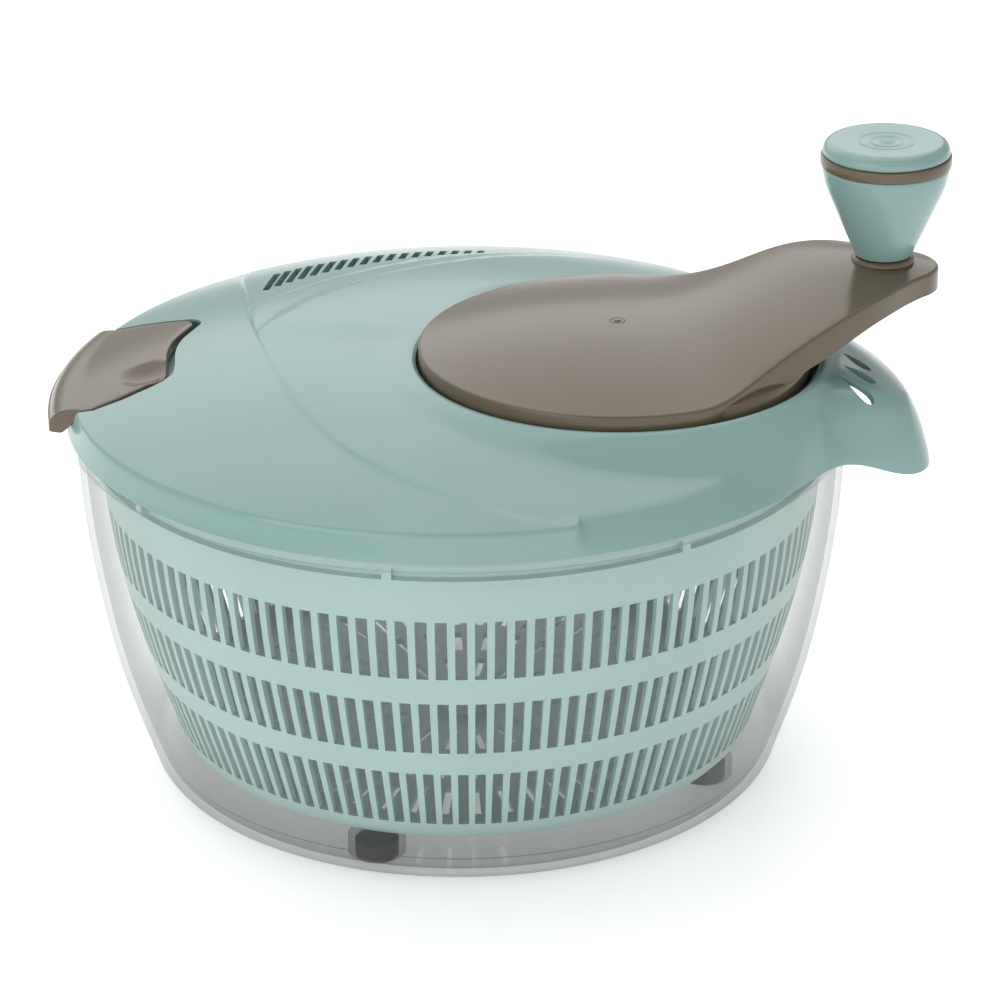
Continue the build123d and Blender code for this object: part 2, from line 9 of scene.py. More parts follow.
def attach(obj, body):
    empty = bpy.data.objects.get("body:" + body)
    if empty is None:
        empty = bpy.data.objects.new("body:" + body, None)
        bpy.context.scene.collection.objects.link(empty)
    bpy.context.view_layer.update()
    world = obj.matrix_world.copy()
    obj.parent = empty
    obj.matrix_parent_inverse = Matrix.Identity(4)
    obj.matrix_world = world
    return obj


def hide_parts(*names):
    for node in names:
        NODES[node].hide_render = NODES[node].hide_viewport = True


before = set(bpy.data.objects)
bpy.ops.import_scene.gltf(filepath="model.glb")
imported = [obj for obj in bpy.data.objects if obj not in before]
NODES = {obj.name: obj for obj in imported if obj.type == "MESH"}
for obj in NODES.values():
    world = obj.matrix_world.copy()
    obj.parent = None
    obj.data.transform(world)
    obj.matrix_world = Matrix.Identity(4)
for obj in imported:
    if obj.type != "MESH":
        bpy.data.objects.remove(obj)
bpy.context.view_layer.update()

MM = 0.001

# ---------------------------------------------------------------- sizes, mm
CRANK = np.array([52.0, 0.0])  # the crank's axis, seen from above
ARM_L = 85.0  # crank axis to knob axis
ARM_COS, ARM_SIN = math.cos(math.radians(30)), math.sin(math.radians(30))  # where the arm points
KNOB = CRANK + ARM_L * np.array([ARM_COS, ARM_SIN])
KNOB_Z = 170.3  # the knob's foot
PIN_R = 3.06  # bore for the knob's pin
DISC_R = 61.0
ARM_EDGE_R = 1.1  # rounding of the crank's upper edge
CRANK_WALL = 2.3
RIM_R = 124.8  # the lid's foot
FOOT_Z = 120.3
SHELL = 2.2  # the lid's wall
DOME_R, DOME_EDGE_Z, DOME_H = 121.0, 129.5, 12.5
WELL_R = 63.0
WELL_Z = 143.5  # crest of the collar round the well
WELL_FLOOR = 136.5
NOTCH_AZ = -53.7  # where the lid's swirl meets the rim in front
BACK_AZ = 147.6  # and at the back
HOOD_Z, HOOD_RISE, HOOD_RUN = 120.0, 22.6, 38.0  # the spout's quarter-ellipse section
VENTS = 18
VENT_R, VENT_AZ, VENT_PITCH = 100.5, 147.3, 2.45  # the slits' upper ends
VENT_TILT = 102.5  # azimuth that every slit runs along
VENT_HALF = 1.2
POCKET = (1.2, 3.0)  # the pocket's room beside the lock and in front of it
LOCK_CLEAR = (-0.5, -0.4)  # the lock's own gap at its sides and in front
LOCK_WALL = 1.6
LOCK_EDGE_R = 0.6
SCOOP, SCOOP_R = np.array([-92.5, -42.5]), 18.0  # finger scoop in the lock
SCREW_SPOTS = [(25.5, 46.0), (25.5, -46.0), (78.5, 46.0), (78.5, -46.0), (-5.0, 23.0), (-5.0, -23.0)]
BOWL_WALL = 2.2
FEET_R = 82.0  # circle of the feet


# ---------------------------------------------------------------- small tools
def smooth(x):
    """A soft step from 0 to 1."""
    x = np.clip(x, 0.0, 1.0)
    return x * x * (3 - 2 * x)


def circle(degrees):
    """Points of the unit circle at the given azimuths."""
    a = np.radians(degrees)
    return np.stack([np.cos(a), np.sin(a)], 1)


def outward(p):
    """Unit normals, in plan, of an anticlockwise loop of points."""
    t = np.roll(p, -1, 0)[:, :2] - np.roll(p, 1, 0)[:, :2]
    return np.stack([t[:, 1], -t[:, 0]], 1) / np.hypot(*t.T)[:, None]


def cubic(xs, ys):
    """Natural cubic spline through points, as a function that works on arrays."""
    xs, ys = np.asarray(xs, float), np.asarray(ys, float)
    n = len(xs)
    h = np.diff(xs)
    a = np.zeros((n, n))
    b = np.zeros(n)
    a[0, 0] = a[-1, -1] = 1
    for i in range(1, n - 1):
        a[i, i - 1], a[i, i], a[i, i + 1] = h[i - 1], 2 * (h[i - 1] + h[i]), h[i]
        b[i] = 6 * ((ys[i + 1] - ys[i]) / h[i] - (ys[i] - ys[i - 1]) / h[i - 1])
    m = np.linalg.solve(a, b)

    def value(x):
        x = np.asarray(x, float)
        k = np.clip(np.searchsorted(xs, x) - 1, 0, n - 2)
        t = np.clip(x, xs[0], xs[-1])
        p, q, w = xs[k + 1] - t, t - xs[k], h[k]
        return (
            m[k] * p**3 / (6 * w)
            + m[k + 1] * q**3 / (6 * w)
            + (ys[k] / w - m[k] * w / 6) * p
            + (ys[k + 1] / w - m[k + 1] * w / 6) * q
        )

    return value


def inside(points, polygon):
    """Which 2-D points lie inside a closed polygon."""
    px, py = points[:, 0], points[:, 1]
    odd = np.zeros(len(points), bool)
    x0, y0 = polygon[:, 0], polygon[:, 1]
    x1, y1 = np.roll(x0, -1), np.roll(y0, -1)
    for a, b, c, d in zip(x0, y0, x1, y1):
        if b == d:
            continue
        odd ^= ((b > py) != (d > py)) & (px < (c - a) * (py - b) / (d - b) + a)
    return odd


def resample(points, step, closed):
    """Points spread evenly along a polyline."""
    p = np.asarray(points, float)
    if closed:
        p = np.vstack([p, p[:1]])
    length = np.concatenate([[0], np.cumsum(np.hypot(*np.diff(p, axis=0).T))])
    n = max(int(round(length[-1] / step)), 3)
    at = np.linspace(0, length[-1], n + 1)
    q = np.stack([np.interp(at, length, p[:, 0]), np.interp(at, length, p[:, 1])], 1)
    return q[:-1] if closed else q


def sheet(outer, holes, lines, step):
    """A triangulated flat region: points (n, 2) and anticlockwise triangles.

    The edges follow the outer loop, the holes and the extra lines; the rest is an even net."""
    points, edges = [], []

    def add(loop, closed):
        start = len(points)
        points.extend(map(tuple, loop))
        n = len(loop)
        edges.extend((start + i, start + i + 1) for i in range(n - 1))
        if closed:
            edges.append((start + n - 1, start))

    add(outer, True)
    for h in holes:
        add(h, True)
    for line in lines:
        add(line, False)
    tree = kdtree.KDTree(len(points))
    for i, p in enumerate(points):
        tree.insert((p[0], p[1], 0.0), i)
    tree.balance()
    lo, hi = outer.min(0), outer.max(0)
    net = []
    row_gap = step * 3**0.5 / 2
    for j, y in enumerate(np.arange(lo[1], hi[1], row_gap)):
        for x in np.arange(lo[0] + (step / 2 if j % 2 else 0), hi[0], step):
            net.append((x, y))
    net = np.array(net)
    net = net[inside(net, outer)]
    for h in holes:
        net = net[~inside(net, h)]
    near = np.array([tree.find((x, y, 0.0))[2] for x, y in net])
    points.extend(map(tuple, net[near > 0.62 * step]))
    verts, _, faces, *_ = geometry.delaunay_2d_cdt([Vector(p) for p in points], edges, [], 0, 1e-5)
    flat = np.array([(v.x, v.y) for v in verts])
    tris = np.array([f for f in faces if len(f) == 3])
    a, b, c = flat[tris[:, 0]], flat[tris[:, 1]], flat[tris[:, 2]]
    middle = (a + b + c) / 3
    keep = inside(middle, outer)
    for h in holes:
        keep &= ~inside(middle, h)
    tris = tris[keep]
    a, b, c = flat[tris[:, 0]], flat[tris[:, 1]], flat[tris[:, 2]]
    area = (b[:, 0] - a[:, 0]) * (c[:, 1] - a[:, 1]) - (b[:, 1] - a[:, 1]) * (c[:, 0] - a[:, 0])
    tris[area < 0] = tris[area < 0][:, ::-1]
    used = np.unique(tris)
    new = -np.ones(len(flat), int)
    new[used] = np.arange(len(used))
    return flat[used], new[tris]


def open_loops(faces):
    """Directed boundary loops of a set of faces, as lists of vertex numbers."""
    seen = set()
    for f in faces:
        seen.update((f[i], f[(i + 1) % len(f)]) for i in range(len(f)))
    after = {a: b for a, b in seen if (b, a) not in seen}
    loops = []
    while after:
        start = next(iter(after))
        loop = [start]
        nxt = after.pop(start)
        while nxt != start:
            loop.append(nxt)
            nxt = after.pop(nxt)
        loops.append(loop)
    return loops


class Build:
    """Vertices and faces of one mesh, in mm."""

    def __init__(self, points=(), faces=()):
        self.v = [tuple(map(float, p)) for p in points]
        self.f = [tuple(map(int, f)) for f in faces]

    def row(self, loop, points):
        """Continues a boundary loop with a row of new points; returns the new loop."""
        start = len(self.v)
        n = len(loop)
        self.v += [tuple(map(float, p)) for p in points]
        new = [start + i for i in range(n)]
        for i in range(n):
            j = (i + 1) % n
            self.f.append((loop[j], loop[i], new[i], new[j]))
        return new

    def lathe(self, profile, count=96, centre=(0.0, 0.0)):
        """A turned solid from a closed (radius, height) outline drawn anticlockwise."""
        start = len(self.v)
        m = len(profile)
        for i in range(count):
            a = math.radians(360.0 * i / count)
            for r, z in profile:
                self.v.append((centre[0] + r * math.cos(a), centre[1] + r * math.sin(a), z))
        for i in range(count):
            here, there = start + i * m, start + (i + 1) % count * m
            for k in range(m):
                n = (k + 1) % m
                if profile[k][0] or profile[n][0]:
                    self.f.append((here + k, there + k, there + n, here + n))
        return self


def piece(name, build, body, material, replaces=(), angle=38.0, merge=1e-6):
    """Makes the Blender object of a piece and puts it on its body."""
    mesh = bpy.data.meshes.new(name)
    mesh.from_pydata([(x * MM, y * MM, z * MM) for x, y, z in build.v], [], build.f)
    mesh.validate()
    obj = bpy.data.objects.new(name, mesh)
    bpy.context.scene.collection.objects.link(obj)
    bm = bmesh.new()
    bm.from_mesh(mesh)
    bmesh.ops.remove_doubles(bm, verts=bm.verts, dist=merge)
    bmesh.ops.dissolve_degenerate(bm, dist=1e-7, edges=bm.edges)
    bmesh.ops.recalc_face_normals(bm, faces=bm.faces)
    bm.to_mesh(mesh)
    bm.free()
    mesh.polygons.foreach_set("use_smooth", [True] * len(mesh.polygons))
    mesh.set_sharp_from_angle(angle=math.radians(angle))
    mesh.materials.append(material)
    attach(obj, body)
    if replaces:
        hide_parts(*replaces)
    return obj


def solidify(obj, thickness):
    """Gives an open skin its wall, inwards, and applies it."""
    mod = obj.modifiers.new("wall", "SOLIDIFY")
    mod.thickness = thickness * MM
    mod.offset = -1
    mod.use_even_offset = False
    apply(obj)


def apply(obj):
    """Bakes an object's modifiers into its mesh."""
    dg = bpy.context.evaluated_depsgraph_get()
    mesh = bpy.data.meshes.new_from_object(obj.evaluated_get(dg))
    obj.modifiers.clear()
    old = obj.data
    obj.data = mesh
    bpy.data.meshes.remove(old)
    mesh.name = obj.name


# ---------------------------------------------------------------- materials
def linear(rgb):
    """An 8-bit sRGB colour as linear values."""
    return [c / 255 / 12.92 if c / 255 <= 0.04045 else ((c / 255 + 0.055) / 1.055) ** 2.4 for c in rgb]


def new_material(name):
    """An empty material: its node tree and its output node."""
    mat = bpy.data.materials.new(name)
    mat.use_nodes = True
    nt = mat.node_tree
    nt.nodes.clear()
    return mat, nt, nt.nodes.new("ShaderNodeOutputMaterial")


def noise(nt, coord, scale, detail):
    """A noise texture laid on the object's own coordinates."""
    tex = nt.nodes.new("ShaderNodeTexNoise")
    tex.inputs["Scale"].default_value = scale
    tex.inputs["Detail"].default_value = detail
    nt.links.new(coord.outputs["Object"], tex.inputs["Vector"])
    return tex


def two_tone(nt, low, low_at, high, high_at):
    """A colour ramp between two colours."""
    ramp = nt.nodes.new("ShaderNodeValToRGB")
    first, last = ramp.color_ramp.elements
    first.position, last.position = low_at, high_at
    first.color, last.color = list(low) + [1], list(high) + [1]
    return ramp


def span(nt, source, low, high, start=0.0, end=1.0):
    """Maps an output's range from start..end to low..high."""
    node = nt.nodes.new("ShaderNodeMapRange")
    node.inputs["From Min"].default_value = start
    node.inputs["From Max"].default_value = end
    node.inputs["To Min"].default_value = low
    node.inputs["To Max"].default_value = high
    nt.links.new(source, node.inputs["Value"])
    return node.outputs["Result"]


def plastic(name, rgb, rough=0.22, vary=0.04, bump=0.02, grain=900.0):
    """Moulded plastic: faint clouding of the colour, uneven gloss and a very fine skin."""
    mat, nt, out = new_material(name)
    p = nt.nodes.new("ShaderNodeBsdfPrincipled")
    nt.links.new(p.outputs["BSDF"], out.inputs["Surface"])
    coord = nt.nodes.new("ShaderNodeTexCoord")
    cloud = noise(nt, coord, 26.0, 4.0)
    base = linear(rgb)
    darker = [c * (1 - vary) for c in base]
    lighter = [min(1, c * (1 + vary)) for c in base]
    ramp = two_tone(nt, darker, 0.3, lighter, 0.7)
    nt.links.new(cloud.outputs["Fac"], ramp.inputs["Fac"])
    nt.links.new(ramp.outputs["Color"], p.inputs["Base Color"])
    nt.links.new(span(nt, cloud.outputs["Fac"], rough * 0.9, rough * 1.12), p.inputs["Roughness"])
    fine = noise(nt, coord, grain, 2.0)
    skin = nt.nodes.new("ShaderNodeBump")
    skin.inputs["Strength"].default_value = bump
    skin.inputs["Distance"].default_value = 0.0002
    nt.links.new(fine.outputs["Fac"], skin.inputs["Height"])
    nt.links.new(skin.outputs["Normal"], p.inputs["Normal"])
    return mat


def metal(name, rgb, rough, stretch):
    """Plated steel with fine turning marks."""
    mat = plastic(name, rgb, rough, 0.06, bump=0.03)
    nt = mat.node_tree
    p = next(n for n in nt.nodes if n.type == "BSDF_PRINCIPLED")
    p.inputs["Metallic"].default_value = 1.0
    marks = nt.nodes.new("ShaderNodeTexNoise")
    marks.inputs["Scale"].default_value = stretch
    marks.inputs["Detail"].default_value = 3.0
    coord = next(n for n in nt.nodes if n.type == "TEX_COORD")
    squash = nt.nodes.new("ShaderNodeMapping")
    squash.inputs["Scale"].default_value = (0.05, 0.05, 1.0)
    nt.links.new(coord.outputs["Object"], squash.inputs["Vector"])
    nt.links.new(squash.outputs["Vector"], marks.inputs["Vector"])
    skin = next(n for n in nt.nodes if n.type == "BUMP")
    nt.links.new(marks.outputs["Fac"], skin.inputs["Height"])
    return mat


def clear(name, tint, painted_edge_shade, gloss_rough=0.03):
    """Clear plastic wall: passes light, mirrors more at grazing angles, and is greyer where seen edge-on,
    a painted shade standing in for the refraction of the curved wall.
    """
    mat, nt, out = new_material(name)
    coord = nt.nodes.new("ShaderNodeTexCoord")
    facing = nt.nodes.new("ShaderNodeLayerWeight")
    facing.inputs["Blend"].default_value = 0.35
    # painted shade: the passed colour turns greyer towards grazing angles, for the curved wall's
    # refraction
    ramp = two_tone(nt, tint, 0.35, painted_edge_shade, 0.95)
    nt.links.new(facing.outputs["Facing"], ramp.inputs["Fac"])
    # painted shade: the passed colour darkens towards the bowl's base, for the floor's shadow and the dark
    # reflection seen through it
    place = nt.nodes.new("ShaderNodeSeparateXYZ")
    nt.links.new(coord.outputs["Object"], place.inputs["Vector"])
    shade = nt.nodes.new("ShaderNodeVectorMath")
    shade.operation = "SCALE"
    nt.links.new(ramp.outputs["Color"], shade.inputs[0])
    # painted shade: scales the passed colour from 0.84 at the base up to 1 higher on the wall
    nt.links.new(span(nt, place.outputs["Z"], 0.84, 1.0, 0.004, 0.026), shade.inputs["Scale"])
    through = nt.nodes.new("ShaderNodeBsdfTransparent")
    nt.links.new(shade.outputs["Vector"], through.inputs["Color"])
    mirror = nt.nodes.new("ShaderNodeBsdfGlossy")
    haze = noise(nt, coord, 18.0, 5.0)
    nt.links.new(span(nt, haze.outputs["Fac"], gloss_rough, gloss_rough * 2.2), mirror.inputs["Roughness"])
    # mirror share that rises with the fifth power towards grazing, the same from both sides
    graze = nt.nodes.new("ShaderNodeLayerWeight")
    graze.inputs["Blend"].default_value = 0.5
    power = nt.nodes.new("ShaderNodeMath")
    power.operation = "POWER"
    power.inputs[1].default_value = 5.0
    nt.links.new(graze.outputs["Facing"], power.inputs[0])
    mix = nt.nodes.new("ShaderNodeMixShader")
    nt.links.new(span(nt, power.outputs["Value"], 0.035, 0.7), mix.inputs["Fac"])
    nt.links.new(through.outputs["BSDF"], mix.inputs[1])
    nt.links.new(mirror.outputs["BSDF"], mix.inputs[2])
    nt.links.new(mix.outputs["Shader"], out.inputs["Surface"])
    return mat


MINT = plastic("mint_plastic", (131, 164, 160), rough=0.2, vary=0.025)
BASKET = plastic("basket_plastic", (162, 192, 187), rough=0.32, vary=0.03)
BROWN = plastic("brown_plastic", (98, 87, 69), rough=0.2, vary=0.03)
WHITE = plastic("white_acetal", (226, 226, 220), rough=0.4, vary=0.02)
GREY = plastic("grey_plastic", (150, 160, 158), rough=0.4, vary=0.03)
DARK = plastic("dark_rubber", (52, 52, 52), rough=0.65, vary=0.12, bump=0.15, grain=1800.0)
STEEL = metal("plated_steel", (196, 196, 194), 0.28, 900.0)
# the second colour is the painted shade of the bowl's wall where it is seen edge-on
CLEAR = clear("clear_plastic", (0.985, 0.988, 0.987), (0.66, 0.69, 0.68))


# ---------------------------------------------------------------- lid
def dome(r):
    """Height of the plain dome at a distance from the bowl's axis."""
    return DOME_EDGE_Z + DOME_H * (1 - (r / DOME_R) ** 3)


# the swirl's edge, as distance from the crank axis against direction from it
SWIRL = cubic(
    [140, 157, 167, 177, 190, 203, 216, 241, 257, 268, 282, 300],
    [186, 166, 142.5, 127, 113.7, 106.5, 103.6, 103.4, 103, 102.3, 102.0, 102.0],
)
ARC_A = cubic([110, 135, 146, 161, 175, 182], [119.5, 119.1, 119.2, 122.9, 129.7, 134])
ARC_B = cubic([105, 128.6, 140.6, 157.4, 172.3, 185], [112, 110.3, 108.8, 111.2, 114.4, 117.5])
# how far the spout reaches past the rim, against azimuth: a swept beak, steep in front
BEAK_FROM, BEAK_TO = -16, 46
BEAK = cubic(
    [BEAK_FROM, -9, -5, -2, 1, 3.5, 6, 10, 15, 20, 26, 32, 38, BEAK_TO],
    [0, 0.8, 4.2, 11.5, 20.5, 24.4, 25.0, 23.0, 19.4, 15.6, 11.0, 6.2, 2.0, 0],
)
# the strainer's slots: inner end, outer end, half width
STRAINER = [
    ((117.6, 27.6), (128.0, 19.4), 2.8),
    ((120.6, 16.2), (131.8, 11.0), 3.0),
    ((121.6, 7.8), (133.8, 1.8), 3.0),
]


def crank_polar(x, y):
    """Distance and direction from the crank's axis."""
    dx, dy = x - CRANK[0], y - CRANK[1]
    return np.hypot(dx, dy), np.degrees(np.arctan2(dy, dx)) % 360


def lid_height(x, y):
    """Height of the lid's top surface, mm."""
    x, y = np.asarray(x, float), np.asarray(y, float)
    r = np.hypot(x, y)
    rc, az = crank_polar(x, y)
    z = dome(r)
    # swirl: the side towards the crank is a step higher on the left, a little lower in front
    gap = SWIRL(az) - rc
    up, down = 0.75, -0.55
    step = up * (1 - smooth((az - 235) / 45)) + down * smooth((az - 250) / 32)
    step = np.where(az < 140, up, np.where(az > 282, down, step))
    inner = np.where((az < 140) | (az > 282), 1.0, smooth((gap + 0.7) / 1.4))
    z = z + step * inner * smooth((122.5 - r) / 5.0)
    # two fine steps that sweep round the back
    for arc, low, high in ((ARC_A, 105, 186), (ARC_B, 100, 190)):
        side = smooth((arc(az) - rc + 0.5) / 1.0)
        fade = smooth((az - low) / 30) * (1 - smooth((az - high + 8) / 8))
        z = z + 0.32 * side * fade * inner
    # flared collar round the crank's well
    d = rc - WELL_R
    flare = 1 - smooth((d - 1.2) / 10.5)
    lip = 0.9 * (1 - smooth(d / 1.2))
    z = z * (1 - flare) + WELL_Z * flare - lip
    # the spout's hood, blended in over the rest by a soft maximum
    reach = beak(np.degrees(np.arctan2(y, x)))
    depth = np.clip(RIM_R + reach - r, 0, HOOD_RUN)
    hood = HOOD_Z + HOOD_RISE * np.sqrt(1 - (1 - depth / HOOD_RUN) ** 2)
    lift = np.where(r > 60, smooth(reach / 9.0), 0.0)
    blend = 2.0
    return z + lift * (0.5 * (hood - z + np.sqrt((z - hood) ** 2 + blend * blend)))


def beak(az):
    """How far the spout's outline stands past the rim."""
    a = (np.asarray(az, float) + 180) % 360 - 180
    reach = np.maximum(BEAK(np.clip(a, BEAK_FROM, BEAK_TO)), 0)
    return np.where((a > BEAK_FROM) & (a < BEAK_TO), reach, 0.0)


def rim_radius(az):
    """Radius of the lid's outline, with the spout, against azimuth in degrees."""
    return RIM_R + beak(az)


def softness(az):
    """0 where the lid's edge is crisp, 1 where it is a broad curve."""
    a = (np.asarray(az, float) + 360) % 360
    front = smooth((a - (360 + NOTCH_AZ) + 0.5) / 1.2)
    back = 1 - smooth((a - BACK_AZ + 3) / 3.0)
    return np.where(a > 250, front, back)


def lock_outline(outer_r, side, inward):
    """Plan of the lock slider as a closed loop, grown at its sides and inwards."""
    top_y, low_y = 3.6 + side, -64.0 - side
    a0 = math.degrees(math.asin(top_y / outer_r))
    a1 = math.degrees(math.asin(-low_y / outer_r))
    arc = (circle(np.linspace(180 - a0, 180 + a1, 60)) * outer_r).tolist()
    lower = [
        (-99.4 + inward / 2, low_y),
        (-92.4 + inward * 0.7, low_y + 5.4),
        (-86.6 + inward * 0.8, low_y + 12.6),
        (-84.2 + inward * 0.9, low_y + 17.0),
    ]
    wave = cubic([-44, -36, -29, -22, -15, -8, -2], [-83.2, -85.8, -88.8, -91.2, -92.4, -92.3, -92.0])
    inner = [(float(wave(y)) + inward, y) for y in np.linspace(-43, -2, 40)]
    bend_x, bend_y = inner[-1]
    bend = top_y - bend_y  # radius of the rounded upper corner
    turn = circle(np.linspace(9, 90, 10))
    corner = [(bend_x - bend * (1 - c), bend_y + bend * s) for c, s in turn]
    return np.array(arc + lower + inner + corner)


def lid_holes():
    """Outlines of the vent slits and the strainer's slots."""
    holes = []
    along = circle([VENT_TILT])[0]
    side = np.array([-along[1], along[0]]) * VENT_HALF
    for i, top in enumerate(circle(VENT_AZ - VENT_PITCH * np.arange(VENTS)) * VENT_R):
        low = top - along * (23.5 - 1.05 * i)
        holes.append(resample([low + side, low - side, top - side, top + side], 1.1, True))
    for (x1, y1), (x2, y2), w in STRAINER:
        d = np.array([x2 - x1, y2 - y1])
        length = np.hypot(*d)
        d = d / length
        n = np.array([-d[1], d[0]])
        shape = []
        for c, s in circle(np.arange(0, 360, 15)):
            u = 0.5 - 0.5 * c  # from the inner end to the outer one
            half = w * s * (0.35 + 0.65 * u)
            shape.append(np.array([x1, y1]) + d * length * u + n * half)
        holes.append(resample(shape, 0.8, True))
    return holes


def make_lid():
    """The lid's skin, from the well's floor out to the foot."""
    az = np.arange(0, 360, 0.75)
    inset = 3.2 + 5.0 * softness(az)
    shoulder = circle(az) * (rim_radius(az) - inset)[:, None]
    well = circle(az) * (WELL_R + 0.05) + CRANK
    lines = [well_ring(d) for d in (0.35, 0.8, 1.4, 2.2, 3.2)]
    for off in (-0.75, -0.25, 0.25, 0.75):
        a = np.arange(158, 283, 0.9)
        lines += clip_lines(polar_line(SWIRL, a, off), shoulder)
    for arc, low, high in ((ARC_A, 118, 178), (ARC_B, 112, 186)):
        for off in (-0.5, 0.0, 0.5):
            lines += clip_lines(polar_line(arc, np.arange(low, high, 0.9), off), shoulder)
    holes = lid_holes()
    flat, tris = sheet(shoulder, [well] + holes, lines_clear_of(lines, holes), 2.0)
    z = lid_height(flat[:, 0], flat[:, 1])
    b = Build(np.column_stack([flat, z]), tris)
    for loop in open_loops(b.f):
        p = np.array([b.v[i] for i in loop])
        r = np.hypot(p[:, 0], p[:, 1])
        rc = np.hypot(p[:, 0] - CRANK[0], p[:, 1] - CRANK[1])
        if len(loop) > 300 and rc.max() < WELL_R + 1:
            u = (p[:, :2] - CRANK) / rc[:, None]
            wall = [(WELL_R - 0.1, 141.0), (WELL_R - 0.2, 137.4), (WELL_R - 0.8, WELL_FLOOR + 0.1)]
            for rr, zz in wall + [(rr, WELL_FLOOR) for rr in (50, 30, 10)]:
                loop = b.row(loop, np.column_stack([CRANK + u * rr, np.full(len(loop), zz)]))
        elif len(loop) > 300:
            rim_skirt(b, loop, p, r)
    return b


def well_ring(d):
    """A circle round the well, at a distance from its wall."""
    return circle(np.arange(0, 360.5, 1.0)) * (WELL_R + d) + CRANK


def polar_line(curve, az, off):
    """A curve given round the crank's axis, moved outwards by off."""
    return circle(az) * (curve(az) + off)[:, None] + CRANK


def runs_where(line, ok):
    """The unbroken runs of a line's points that are ok, each of three points or more."""
    runs, run = [], []
    for p, good in zip(line, ok):
        if good:
            run.append(p)
        else:
            runs.append(run)
            run = []
    runs.append(run)
    return [np.array(r) for r in runs if len(r) > 2]


def clip_lines(line, outer):
    """The runs of a line that lie well inside a loop."""
    return runs_where(line, inside(line, outer * 0.994))


def lines_clear_of(lines, holes):
    """The runs of some lines that keep clear of the holes."""
    out = []
    for line in lines:
        ok = np.ones(len(line), bool)
        for h in holes:
            c = h.mean(0)
            ok &= ~inside(line, c + (h - c) * 1.25)
        out += runs_where(line, ok)
    return out


def rim_skirt(b, loop, p, r):
    """Rounds the lid's edge and carries it down to the foot that sits on the bowl."""
    az = np.degrees(np.arctan2(p[:, 1], p[:, 0]))
    soft = softness(az)
    unit = p[:, :2] / r[:, None]
    rim = rim_radius(az)
    over = smooth((rim - RIM_R - 0.5) / 6.0)  # on the spout
    slope = lid_height(*p[:, :2].T) - lid_height(*(p[:, :2] - unit).T)
    foot = FOOT_Z - 7.2 * smooth((rim - 127.5) / 22)
    run0 = 2.0 + 1.6 * soft
    rise1 = 7.3 - 3.0 * soft
    lean1 = 0.30 - 0.18 * over
    p0 = np.stack([r, p[:, 2]], 1)
    p1 = p0 + np.stack([run0, run0 * slope], 1)
    p3 = np.stack([rim, foot], 1)
    rise1 = np.minimum(rise1, 0.7 * (p0[:, 1] - foot))
    p2 = p3 + np.stack([-rise1 * lean1, rise1], 1)
    for t in np.linspace(0, 1, 15)[1:]:
        w = ((1 - t) ** 3, 3 * t * (1 - t) ** 2, 3 * t * t * (1 - t), t**3)
        q = w[0] * p0 + w[1] * p1 + w[2] * p2 + w[3] * p3
        loop = b.row(loop, np.column_stack([unit * q[:, :1], q[:, 1]]))


def block(outline, top, bottom, step=2.6):
    """A closed solid over a plan, between two height functions."""
    flat, tris = sheet(outline, [], [], step)
    b = Build(np.column_stack([flat, top(flat[:, 0], flat[:, 1])]), tris)
    loop = open_loops(b.f)[0]
    low = bottom(flat[:, 0], flat[:, 1])
    n = len(flat)
    b.v += [(x, y, z) for (x, y), z in zip(map(tuple, flat), low)]
    b.f += [tuple(n + i for i in reversed(t)) for t in map(tuple, tris.tolist())]
    for i in range(len(loop)):
        a, c = loop[i], loop[(i + 1) % len(loop)]
        b.f.append((c, a, n + a, n + c))
    return b


def plain(name, build):
    """A mesh object for cutting or joining."""
    mesh = bpy.data.meshes.new(name)
    mesh.from_pydata([(x * MM, y * MM, z * MM) for x, y, z in build.v], [], build.f)
    obj = bpy.data.objects.new(name, mesh)
    bpy.context.scene.collection.objects.link(obj)
    return obj


def cut(obj, tool, folded=False):
    """Cuts the tool away from obj; folded says that obj's walls cross themselves somewhere."""
    mod = obj.modifiers.new("cut", "BOOLEAN")
    mod.operation = "DIFFERENCE"
    mod.solver = "EXACT"
    mod.use_self = folded
    mod.object = tool
    apply(obj)
    bpy.data.objects.remove(tool)


def absorb(obj, other):
    """Adds the other object's mesh to obj and removes the other object."""
    bm = bmesh.new()
    bm.from_mesh(obj.data)
    bm.from_mesh(other.data)
    bm.to_mesh(obj.data)
    bm.free()
    bpy.data.objects.remove(other)


def finish_mesh(obj, angle=38.0):
    """Smooth shading, with sharp edges where faces meet at more than the angle."""
    obj.data.polygons.foreach_set("use_smooth", [True] * len(obj.data.polygons))
    obj.data.set_sharp_from_angle(angle=math.radians(angle))


def flat_at(z):
    return lambda x, y: np.full(len(x), float(z))


def below_dome(drop):
    return lambda x, y: dome(np.minimum(np.hypot(x, y), 126.0)) - drop


def under_parts():
    """What hangs under the lid: centring ring, gear box roof and screw posts."""
    b = Build()
    b.lathe([(116.6, 118.4), (118.0, 118.4), (118.0, 122.2), (116.6, 122.2)], 180)
    b.lathe([(11.0, 134.5), (17.0, 134.5), (17.0, 136.3), (11.0, 136.3)], 64)
    post = [(1.3, 126.0), (3.7, 126.0), (4.0, 126.4), (4.0, 135.5), (1.3, 135.5)]
    for spot in SCREW_SPOTS:
        b.lathe(post, 28, spot)
    return b


lid = piece("lid_shell", make_lid(), "lid", MINT, ["lid_cover"])
solidify(lid, SHELL)
pocket = lock_outline(140.0, *POCKET)
cut(lid, plain("cut_pocket", block(pocket, flat_at(160), flat_at(124.9))), folded=True)
tray = plain("tray", block(lock_outline(121.8, 3.0, 5.0), below_dome(0.7), below_dome(6.6)))
cut(tray, plain("cut_tray", block(pocket, flat_at(160), below_dome(4.6))))
absorb(lid, tray)
absorb(lid, plain("under", under_parts()))
finish_mesh(lid)


